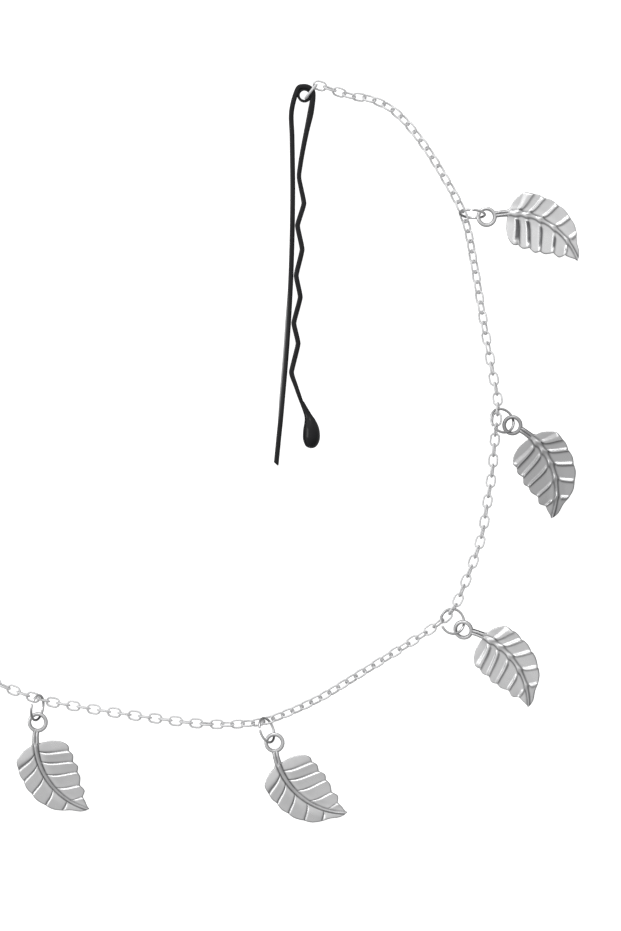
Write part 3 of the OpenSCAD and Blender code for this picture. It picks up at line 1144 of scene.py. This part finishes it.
@dataclass(frozen=True)
class LeafEye:
    """The ring at the end of the stem, with a slightly flattened round section."""

    diameter: float = 2.95
    wall: float = 0.55
    squareness: float = 2.3
    around: int = 18
    turns: int = 56
    inner_edge: Span = (-0.1, 0.26)
    inner_dark: float = 0.55
    outer_edge: Span = (0.12, 0.26)
    least_dark: float = 0.12
    outer_dark: float = 0.4

    @property
    def radius(self) -> float:
        """Radius of the middle of the wall."""
        return (self.diameter - self.wall) / 2

    def build(self) -> Shell:
        """Makes the ring, with painted shade inside and outside, so it is darker there than on its top.

        Returns:
            The ring about the origin.
        """
        section = rounded_section(self.wall / 2, self.wall / 2, self.squareness, self.around)
        shell = lathed(section + [self.radius, 0], self.turns)
        from_middle = np.hypot(shell.points[:, 0], shell.points[:, 1])
        # Painted shade on the inner side and as a dark outer outline, with a little everywhere
        inside = self.inner_dark * smooth_step(*self.inner_edge, self.radius - from_middle)
        outside = self.outer_dark * smooth_step(*self.outer_edge, from_middle - self.radius)
        shell.mask = np.maximum(inside, self.least_dark + outside)
        return shell


@dataclass(frozen=True)
class LeafShape:
    """A cast leaf with its stem and eye. The eye's middle is the origin and the tip is on +X."""

    face: FaceRelief = FaceRelief()
    back: BackRelief = BackRelief()
    stem: StemSection = StemSection()
    eye: LeafEye = LeafEye()
    length: float = 14.7
    width: float = 8.2
    bow: float = 3.0
    blade: float = 0.55
    margin: float = 0.4
    margin_round: float = 0.16
    margin_least: float = 0.25
    fold: float = 6.0
    relief_clear: Span = (0.30, 1.3)
    least_pitch: float = 1.4
    vein_sweep: float = 0.03
    full_sweep: float = 3.0
    midrib_w: float = 0.7
    midrib_least: float = 0.45
    midrib_growth: float = 0.75
    taper_from: float = 1.15
    stem_w: float = 0.98
    stem_t: float = 0.75
    stem_to: float = 0.17
    stem_round: float = 0.012
    stem_sizes: tuple[float, ...] = (0.5, 0.95, 0.95, 1.0, 1.02)

    @property
    def midrib_r(self) -> float:
        """Radius of the midrib's arc."""
        return ((self.length / 2)**2 + self.bow**2) / (2 * self.bow)

    def midrib_y(self, x: Number) -> Number:
        """Place of the midrib's arc across the leaf."""
        return self.midrib_r - self.bow - np.sqrt(self.midrib_r**2 - (x - self.length / 2)**2)

    def blade_rows(self) -> list[BladeRow]:
        """Divides the blade into rows, panel by panel.

        Returns:
            The rows from the base to the tip.
        """
        breaks = (0,) + VEIN_ROWS + (LAST_ROW,)
        rows = []
        for number, (first, last) in enumerate(zip(breaks[:-1], breaks[1:])):
            fine = smooth_curve(LEAF_ROWS[first:last + 1], ROW_STEPS)
            for share in PANEL_STEPS + ((1.0,) if last == LAST_ROW else ()):
                at = share * (len(fine) - 1)
                low = min(int(at), len(fine) - 2)
                along, left_x, left_out, right_x, right_out = (
                    fine[low] + (at - low) * (fine[low + 1] - fine[low]))
                x = np.array([along, left_x, right_x]) * self.length
                y = self.midrib_y(x) + np.array([0, left_out, -right_out]) * self.width
                mid, left, right = np.stack([x, y], axis=1)
                rows.append(BladeRow(
                    mid=mid, ends={Side.LEFT: left, Side.RIGHT: right}, share=share, along=along,
                    pitch=(LEAF_ROWS[last][0] - LEAF_ROWS[first][0]) * self.length,
                    base_vein=number > 0, end_vein=last < LAST_ROW))
        return rows

    def spot(self, row: BladeRow, side: Side, out: float) -> tuple[np.ndarray, Spot]:
        """Finds a spot of the blade.

        Args:
            row: Its row.
            side: Its side of the midrib.
            out: Its place from the midrib, 0, to the margin, 1.

        Returns:
            Its place in the plan, and what its relief needs.
        """
        run = row.ends[side] - row.mid
        reach = float(np.linalg.norm(run))
        sweep = self.vein_sweep * self.length * 4 * out * (1 - out)**2 * min(1.0, reach / self.full_sweep)
        plan = row.mid + run * out + np.array([sweep, 0.0])
        from_centre = math.hypot(plan[0] - self.length / 2, plan[1] - self.midrib_r + self.bow)
        off = abs(from_centre - self.midrib_r)
        pitch = max(row.pitch, self.least_pitch)
        taper = self.taper_from - row.along
        return plan, Spot(
            row=row, side=side, out=out, off=off, to_margin=(1 - out) * reach,
            from_base=row.share * pitch, to_end=(1 - row.share) * pitch,
            from_veins=tuple((row.along - LEAF_ROWS[number][0]) * self.length for number in VEIN_ROWS),
            midrib_half=self.midrib_w / 2 * (self.midrib_least + self.midrib_growth * taper),
            taper=taper, ramp=smooth_step(*self.relief_clear, off))

    def blade_point(self, row: BladeRow, side: Side, out: float, face: Face) -> tuple[list[float], float]:
        """Gives a point of the blade's skin.

        Args:
            row: Its row.
            side: Its side of the midrib.
            out: Its place from the midrib, 0, to the margin, 1.
            face: Its face; at the margin the two faces meet halfway.

        Returns:
            The point, and the painted shade there.
        """
        plan, spot = self.spot(row, side, out)
        middle = -float(np.linalg.norm(plan - row.mid)) * math.tan(math.radians(self.fold))
        half = (self.blade + (self.margin - self.blade) * out) / 2
        rounded = dome(max(0.0, 1 - spot.to_margin / self.margin_round), 1.0)
        half *= self.margin_least + (1 - self.margin_least) * rounded
        rise, upper_shade = self.face.at(spot)
        depth, lower_shade = self.back.at(spot)
        upper, lower = middle + half + rise, middle - half - depth
        if out == 1:
            return [plan[0], plan[1], (upper + lower) / 2], upper_shade
        if face is Face.UPPER:
            return [plan[0], plan[1], upper], upper_shade
        return [plan[0], plan[1], lower], lower_shade

    def stem_point(self, share: float, size: float, side: Side, out: float,
                   face: Face) -> tuple[list[float], float]:
        """Gives a point of the stem's skin.

        Args:
            share: Its place on the midrib's arc, as a share of the leaf's length.
            size: Size of the section there, as a share of the stem's.
            side: Its side of the arc.
            out: Its place from the arc, 0, to the stem's side, 1.
            face: Its face.

        Returns:
            The point, and the painted shade there.
        """
        x = share * self.length
        lean = math.asin((x - self.length / 2) / self.midrib_r)
        away = side * size * self.stem_w / 2 * out
        height, painted_shade = self.stem.at(out)
        z = face * height * size * self.stem_t / 2
        return [x - away * math.sin(lean), float(self.midrib_y(x)) + away * math.cos(lean), z], painted_shade

    @property
    def stem_from(self) -> float:
        """Place where the midrib's arc meets the middle of the eye's wall, as a share of the length."""
        lean = math.asin(self.length / 2 / self.midrib_r) - math.asin(self.eye.radius / 2 / self.midrib_r)
        return self.eye.radius * math.cos(lean) / self.length

    def build(self) -> Shell:
        """Makes the stem and blade as one skin, and the eye.

        Returns:
            The charm in its own frame.
        """
        low, high = self.stem_from, self.stem_to
        places = (low, low + self.stem_round, (low + high) / 2, high - self.stem_round, high)
        loops = [closed_loop(partial(self.stem_point, *row)) for row in zip(places, self.stem_sizes)]
        loops += [closed_loop(partial(self.blade_point, row)) for row in self.blade_rows()]
        points, painted_shade = zip(*loops)
        return swept(np.array(points), mask=np.array(painted_shade)).with_shell(self.eye.build())


def closed_loop(point_at: PointAt) -> tuple[np.ndarray, np.ndarray]:
    """Walks over the upper face from the left margin to the right one and back below.

    Args:
        point_at: Gives the point and the painted shade at a side, a place out and a face.

    Returns:
        The loop's points and their painted shade.
    """
    outs = (0.0,) + OUT_STEPS
    walk = [(Side.LEFT, 1.0, Face.UPPER)]
    walk += [(Side.LEFT, out, Face.UPPER) for out in reversed(OUT_STEPS)]
    walk += [(Side.RIGHT, out, Face.UPPER) for out in outs]
    walk += [(Side.RIGHT, 1.0, Face.UPPER)]
    walk += [(Side.RIGHT, out, Face.LOWER) for out in reversed(OUT_STEPS)]
    walk += [(Side.LEFT, out, Face.LOWER) for out in outs]
    points, painted_shade = zip(*(point_at(*step) for step in walk))
    return np.array(points), np.array(painted_shade)


@dataclass
class LeafCharms:
    """All the leaf charms, cast from one mould, some of them darkened all over by painted shade, one with a
    painted dark reflection on its ridges.
    """

    nodes: Sequence[str]
    ages: dict[str, float]
    rods: dict[str, float]
    slot: str
    material: bpy.types.Material
    sharp_angle: float = 70.0

    def build(self) -> None:
        """Casts the leaf and seats a copy on each packed leaf."""
        # rods gives the strength of the painted dark reflection on each leaf's left ridges
        casts = {dark: LeafShape(back=BackRelief(rod_dark=dark)).build()
                 for dark in {0.0, *self.rods.values()}}
        for node in self.nodes:
            cast = casts[self.rods.get(node, 0.0)]
            shell = cast.placed(seat_on(cast, Solid.of_node(node)))
            shell.age = self.ages.get(node, 0.0)
            name = node + "_cast"
            new_piece(name, mesh_of(name, shell, self.material, self.sharp_angle), [node])


# Hair pins

# Straight leg from its tip to the bend: along as a share of the leg, across as a share of the bend's radius
STRAIGHT_LEG = ((1.000, -3.10), (0.925, -2.80), (0.850, -2.50), (0.660, -1.86), (0.475, -1.46),
                (0.280, -1.30), (0.120, -1.38), (0.045, -1.46))
# Waved leg from the bend to the drop: along, across, thickness as a share of the wire's, share of the
# crimp's depth, slack of the curve
WAVED_LEG = (
    (0.045, 0.72, 1.30, 0, 0.5), (0.090, 0.32, 1.10, 0, 0.5), (0.135, -0.06, 1.00, 0, 0.5),
    (0.185, -0.42, 0.95, 0, 0.5), (0.224, -0.42, 0.90, -0.3, 0.3), (0.293, -0.30, 1, 0.5, 0.2),
    (0.353, -0.47, 1, -0.5, 0.2), (0.418, -0.49, 1, 0.5, 0.2), (0.488, -0.66, 1, -0.4, 0.2),
    (0.547, -0.69, 1, 0.5, 0.2), (0.617, -0.86, 1, -0.5, 0.2), (0.673, -0.92, 1, 0.5, 0.2),
    (0.750, -1.12, 1, -0.5, 0.2), (0.790, -0.86, 0.86, 0, 0.5))
# Angles round the bend, from the straight leg's side to the waved leg's
BEND_ANGLES = (145, 100, 55, 10)
# Drop at the waved leg's end: along, across, radius as a share of the drop's own
DROP = ((0.8274, -0.305, 0.22), (0.8354, -0.133, 0.27), (0.8517, 0.188, 0.345), (0.8680, 0.492, 0.45),
        (0.8843, 0.711, 0.69), (0.9006, 0.828, 0.91), (0.9169, 0.875, 1.0), (0.9305, 0.867, 0.99),
        (0.9414, 0.836, 0.86), (0.9494, 0.805, 0.66), (0.9541, 0.790, 0.42), (0.9566, 0.780, 0.0))
# Rim of the straight leg's tip: size of the section, and how far back it lies in millimetres
TIP_RIM = ((0.0, 0.0), (0.72, 0.0), (0.93, 0.07), (1.0, 0.22))


@dataclass(frozen=True)
class HairPin:
    """A pin of flat wire with a straight leg, a waved leg with a drop, and a small ring in its bend.

    Enamel thickens the wire on each side. Where a grey sheen is painted, on the outer and upper side of the
    straight leg between two shares of its length, the wire bulges by the sheen's swell.
    """

    length: float = 55.0
    wire_t: float = 0.62
    wire_w: float = 1.4
    eye_bore: float = 1.34
    eye_wall: float = 0.38
    eye_height: float = 1.0
    eye_squareness: float = 4.0
    eye_around: int = 16
    eye_turns: int = 56
    solder: float = 0.08
    crimp: float = 0.7
    enamel: float = 0.055
    sheen_swell: float = 0.06
    sheen_along: Span = (0.52, 0.90)
    sheen_fade: float = 0.1
    sheen_side: Span = (0.25, 1.0)
    sheen_top: Span = (-0.1, 0.3)
    drop_d: float = 2.5
    flat_from: Span = (-1.2, 1.6)
    tip_slant: float = 0.7
    squareness: float = 4.2
    around: int = 24
    steps: int = 10
    least: float = 1e-4

    @property
    def bend_r(self) -> float:
        """Radius of the middle of the wire round the bend."""
        return self.eye_bore / 2 + self.eye_wall + self.wire_t / 2 - self.solder

    @property
    def leg(self) -> float:
        """Length of the pin below the middle of its bend."""
        return self.length - self.bend_r - self.wire_t / 2

    def wire_line(self) -> np.ndarray:
        """Gives the path of the wire's middle from the tip to the drop's end.

        Returns:
            Rows of x, y and half the wire's thickness.
        """
        thick_half, r, leg = self.wire_t / 2, self.bend_r, self.leg
        points = [(across * r, -along * leg, thick_half) for along, across in STRAIGHT_LEG]
        points += [(r * math.cos(a), r * math.sin(a), thick_half) for a in map(math.radians, BEND_ANGLES)]
        points += [(across * r + share * self.crimp, -along * leg, thick * thick_half)
                   for along, across, thick, share, _ in WAVED_LEG]
        points += [(across * r, -along * leg, radius * self.drop_d / 2) for along, across, radius in DROP]
        slack = [0.5] * (len(STRAIGHT_LEG) + len(BEND_ANGLES))
        slack += [row[4] for row in WAVED_LEG] + [0.5] * len(DROP)
        return kinked_curve(points, self.steps, slack)

    def painted_sheen(self, along: float) -> float:
        """Says how strong the painted sheen is along the straight leg.

        Args:
            along: Place along the leg, from 0 at the bend to 1 at the tip.

        Returns:
            0 where no sheen is painted, 1 where it is painted most.
        """
        low, high = self.sheen_along
        rise = smooth_step(low, low + self.sheen_fade, along)
        return rise * (1 - smooth_step(high - self.sheen_fade, high, along))

    def section(self, spot: np.ndarray, step: np.ndarray, to_drop: float,
                painted_sheen: float) -> tuple[np.ndarray, np.ndarray]:
        """Makes the wire's section at a spot of its path.

        Args:
            spot: A row of the path.
            step: The path's direction there.
            to_drop: Length of wire from there to the drop, less than 0 in the drop.
            painted_sheen: How strong the painted sheen is there.

        Returns:
            The section's points, and how strong the painted sheen is at each.
        """
        x, y, half = spot
        flat = smooth_step(*self.flat_from, to_drop)
        half_in = max(max(half, 0.0) + flat * self.enamel + painted_sheen * self.sheen_swell, self.least)
        half_up = max(flat * self.wire_w / 2 + (1 - flat) * max(half, 0.0), self.least)
        squareness = 2.0 + (self.squareness - 2.0) * flat
        across, up = rounded_section(half_in, half_up, squareness, self.around).T
        out = across + painted_sheen * self.sheen_swell
        points = np.stack([x - step[1] * out, y + step[0] * out, up], axis=1)
        # The painted sheen falls on the outer, upper edge of the leg
        outer = smooth_step(*self.sheen_side, across / half_in)
        return points, painted_sheen * outer * smooth_step(*self.sheen_top, up / half_up)

    def tip_loops(self, first: np.ndarray, step: np.ndarray) -> np.ndarray:
        """Cuts the straight leg's tip at a slant and bevels its rim.

        Args:
            first: The wire's first section.
            step: The path's direction there.

        Returns:
            The loops that take the place of the first section.
        """
        middle = first.mean(axis=0)
        forward = np.array([step[0], step[1], 0.0])
        side = np.array([-step[1], step[0], 0.0])
        loops = []
        for size, back in TIP_RIM:
            points = middle + (first - middle) * size + forward * back
            slant = (points - middle) @ side * self.tip_slant
            loops.append(points + np.outer(slant, forward))
        return np.array(loops)

    def build(self) -> Shell:
        """Makes the wire and drop as one sweep, and the small ring in the bend.

        Returns:
            The pin in its own frame, with the middle of its bend at the origin.
        """
        run = self.wire_line()
        step = np.gradient(run[:, :2], axis=0)
        step /= np.linalg.norm(step, axis=1)[:, None]
        gone = np.r_[0.0, np.linalg.norm(np.diff(run[:, :2], axis=0), axis=1).cumsum()]
        to_drop = gone[-1 - (len(DROP) - 1) * self.steps] - gone
        bend = (len(STRAIGHT_LEG) - 1) * self.steps
        painted_sheens = [self.painted_sheen(-y / self.leg) if i < bend else 0.0 for i, y in enumerate(run[:, 1])]
        loops, masks = zip(*map(self.section, run, step, to_drop, painted_sheens))
        tip = self.tip_loops(loops[0], step[0])
        mask = np.array([masks[0]] * (len(tip) - 1) + list(masks))
        wire = swept(np.concatenate([tip, np.array(loops[1:])]), mask=mask)
        bead = rounded_section(self.eye_wall / 2, self.eye_height / 2, self.eye_squareness, self.eye_around)
        return wire.with_shell(lathed(bead + [(self.eye_bore + self.eye_wall) / 2, 0], self.eye_turns))


@dataclass
class HairPins:
    """The two hair pins, the left one a mirror image of the right one."""

    right: str
    left: str
    slot: str
    material: bpy.types.Material
    sharp_angle: float = 60.0

    def build(self) -> None:
        """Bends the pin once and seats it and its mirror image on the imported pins."""
        bent = HairPin().build()
        for node, shell in ((self.right, bent), (self.left, bent.flipped())):
            seated = shell.placed(seat_on(shell, Solid.of_node(node)))
            name = node + "_wire"
            new_piece(name, mesh_of(name, seated, self.material, self.sharp_angle), [node])


# Studio

@dataclass(frozen=True)
class SoftLight:
    """A square soft light that points at the piece: place and width in metres, power in watts."""

    name: str
    at: tuple[float, float, float]
    width: float
    power: float

    def hang(self) -> None:
        """Puts the light in the scene."""
        data = bpy.data.lights.new(self.name, "AREA")
        data.shape = "SQUARE"
        data.size = self.width
        data.energy = self.power
        light = bpy.data.objects.new(self.name, data)
        light.location = self.at
        light.rotation_euler = (-Vector(self.at)).to_track_quat("-Z", "Y").to_euler()
        bpy.context.scene.collection.objects.link(light)


@dataclass
class Studio:
    """White table, soft light and a camera straight above the right half of the piece.

    The table glows for the camera alone. The sky is brightest behind the piece and dimmest in front on
    the right: its strength is sky_level in the middle and changes by sky_across and sky_back.
    """

    view_middle: Span = (26.9, -1.67)
    view_height: float = 135.0
    camera_up: float = 600.0
    sensor: float = 36.0
    clip: Span = (0.01, 10.0)
    table_width: float = 2000.0
    table_drop: float = 0.07
    table_grey: float = 0.50
    table_rough: float = 0.9
    table_glow: float = 0.93
    sky_low: float = 0.95
    sky_high: float = 0.98
    sky_high_at: float = 0.95
    sky_level: float = 0.78
    sky_across: float = -0.25
    sky_back: float = 0.38
    lights: tuple[SoftLight, ...] = (SoftLight("behind", (-0.07, 0.80, 0.56), 0.5, 2.6),
                                     SoftLight("left", (-0.80, 0.12, 0.58), 0.4, 1.4))

    def camera(self) -> None:
        """Sets the camera so that view_height fills the picture's height."""
        data = bpy.data.cameras.new("camera")
        data.sensor_fit = "VERTICAL"
        data.sensor_height = self.sensor
        data.lens = self.sensor * self.camera_up / self.view_height
        data.clip_start, data.clip_end = self.clip
        camera = bpy.data.objects.new("camera", data)
        camera.location = (self.view_middle[0] * MM, self.view_middle[1] * MM, self.camera_up * MM)
        bpy.context.scene.collection.objects.link(camera)
        bpy.context.scene.camera = camera

    def floor(self) -> None:
        """Lays the white table just under the piece."""
        half, z = self.table_width / 2 * MM, -self.table_drop * MM
        mesh = bpy.data.meshes.new("table")
        corners = [(-half, -half, z), (half, -half, z), (half, half, z), (-half, half, z)]
        mesh.from_pydata(corners, [], [(0, 1, 2, 3)])
        material = bpy.data.materials.new("white_table")
        material.use_nodes = True
        maker = NodeMaker(material.node_tree)
        shader = material.node_tree.nodes["Principled BSDF"]
        maker.feed(shader.inputs["Base Color"], grey(self.table_grey, 0.0))
        maker.feed(shader.inputs["Roughness"], self.table_rough)
        maker.feed(shader.inputs["Emission Color"], grey(1.0, 0.0))
        seen = maker.add("ShaderNodeLightPath").outputs["Is Camera Ray"]
        maker.feed(shader.inputs["Emission Strength"], maker.maths("MULTIPLY", seen, self.table_glow))
        mesh.materials.append(material)
        table = bpy.data.objects.new("table", mesh)
        bpy.context.scene.collection.objects.link(table)

    def sky(self) -> None:
        """Lights the room softly, brightest behind the piece and dimmest in front on the right."""
        world = bpy.data.worlds.new("studio")
        bpy.context.scene.world = world
        world.use_nodes = True
        maker = NodeMaker(world.node_tree)
        towards = maker.add("ShaderNodeTexCoord").outputs["Generated"]
        parts = maker.add("ShaderNodeSeparateXYZ", {0: towards}).outputs
        ramp = maker.add("ShaderNodeValToRGB", {0: parts["Z"]})
        low, high = ramp.color_ramp.elements
        low.position, low.color = 0.0, grey(self.sky_low, 0.0)
        high.position, high.color = self.sky_high_at, grey(self.sky_high, 0.0)
        across = maker.maths("MULTIPLY_ADD", parts["X"], self.sky_across, self.sky_level)
        strength = maker.maths("MULTIPLY_ADD", parts["Y"], self.sky_back, across)
        tinted = maker.add("ShaderNodeVectorMath", {0: ramp.outputs[0], "Scale": strength}, operation="SCALE")
        maker.feed(world.node_tree.nodes["Background"].inputs["Color"], tinted.outputs[0])

    def build(self) -> None:
        """Sets up the whole studio."""
        self.camera()
        self.floor()
        self.sky()
        for light in self.lights:
            light.hang()
        bpy.context.scene.view_settings.view_transform = "Standard"


def main() -> None:
    """Builds the studio and every sub-assembly in order."""
    Studio().build()
    slots = {row["node"]: row["material_slot"] for row in frame["record"]["subparts"]}
    silver = SilverPlate("silver_plate", grain=2600.0, patches=420.0).build()
    satin = SatinPlate("satin_plate", grain=5200.0, patches=520.0).build()
    enamel = BlackEnamel("black_enamel", grain=3800.0, patches=260.0).build()
    drawn = SilverPlate("chain_plate", grain=2600.0, patches=420.0, dull=grey(0.74), bright=grey(0.83),
                        smooth=0.72, rough=0.82).build()
    CableChain("chain", slots["chain"], drawn).build()
    for node in sorted(slots):
        if node.startswith("end_ring"):
            WireRing(node, slots[node], RingEnds.SOLDERED, drawn, steps=64).build()
        elif node.startswith("jump_ring"):
            WireRing(node, slots[node], RingEnds.SAWN, silver).build()
    leaves = [node for node in sorted(slots) if node.startswith("leaf_charm")]
    # Leaves 2 and 5 are darkened all over with painted shade, leaf 1 gets the painted dark reflection
    LeafCharms(leaves, ages={"leaf_charm_2": 1.0, "leaf_charm_5": 0.1}, rods={"leaf_charm_1": 0.9},
               slot=slots[leaves[0]], material=satin).build()
    HairPins("hair_pin_right", "hair_pin_left", slots["hair_pin_right"], enamel).build()


if __name__ == "__main__":
    logging.basicConfig(level=logging.INFO, format="%(name)s: %(message)s")
    main()
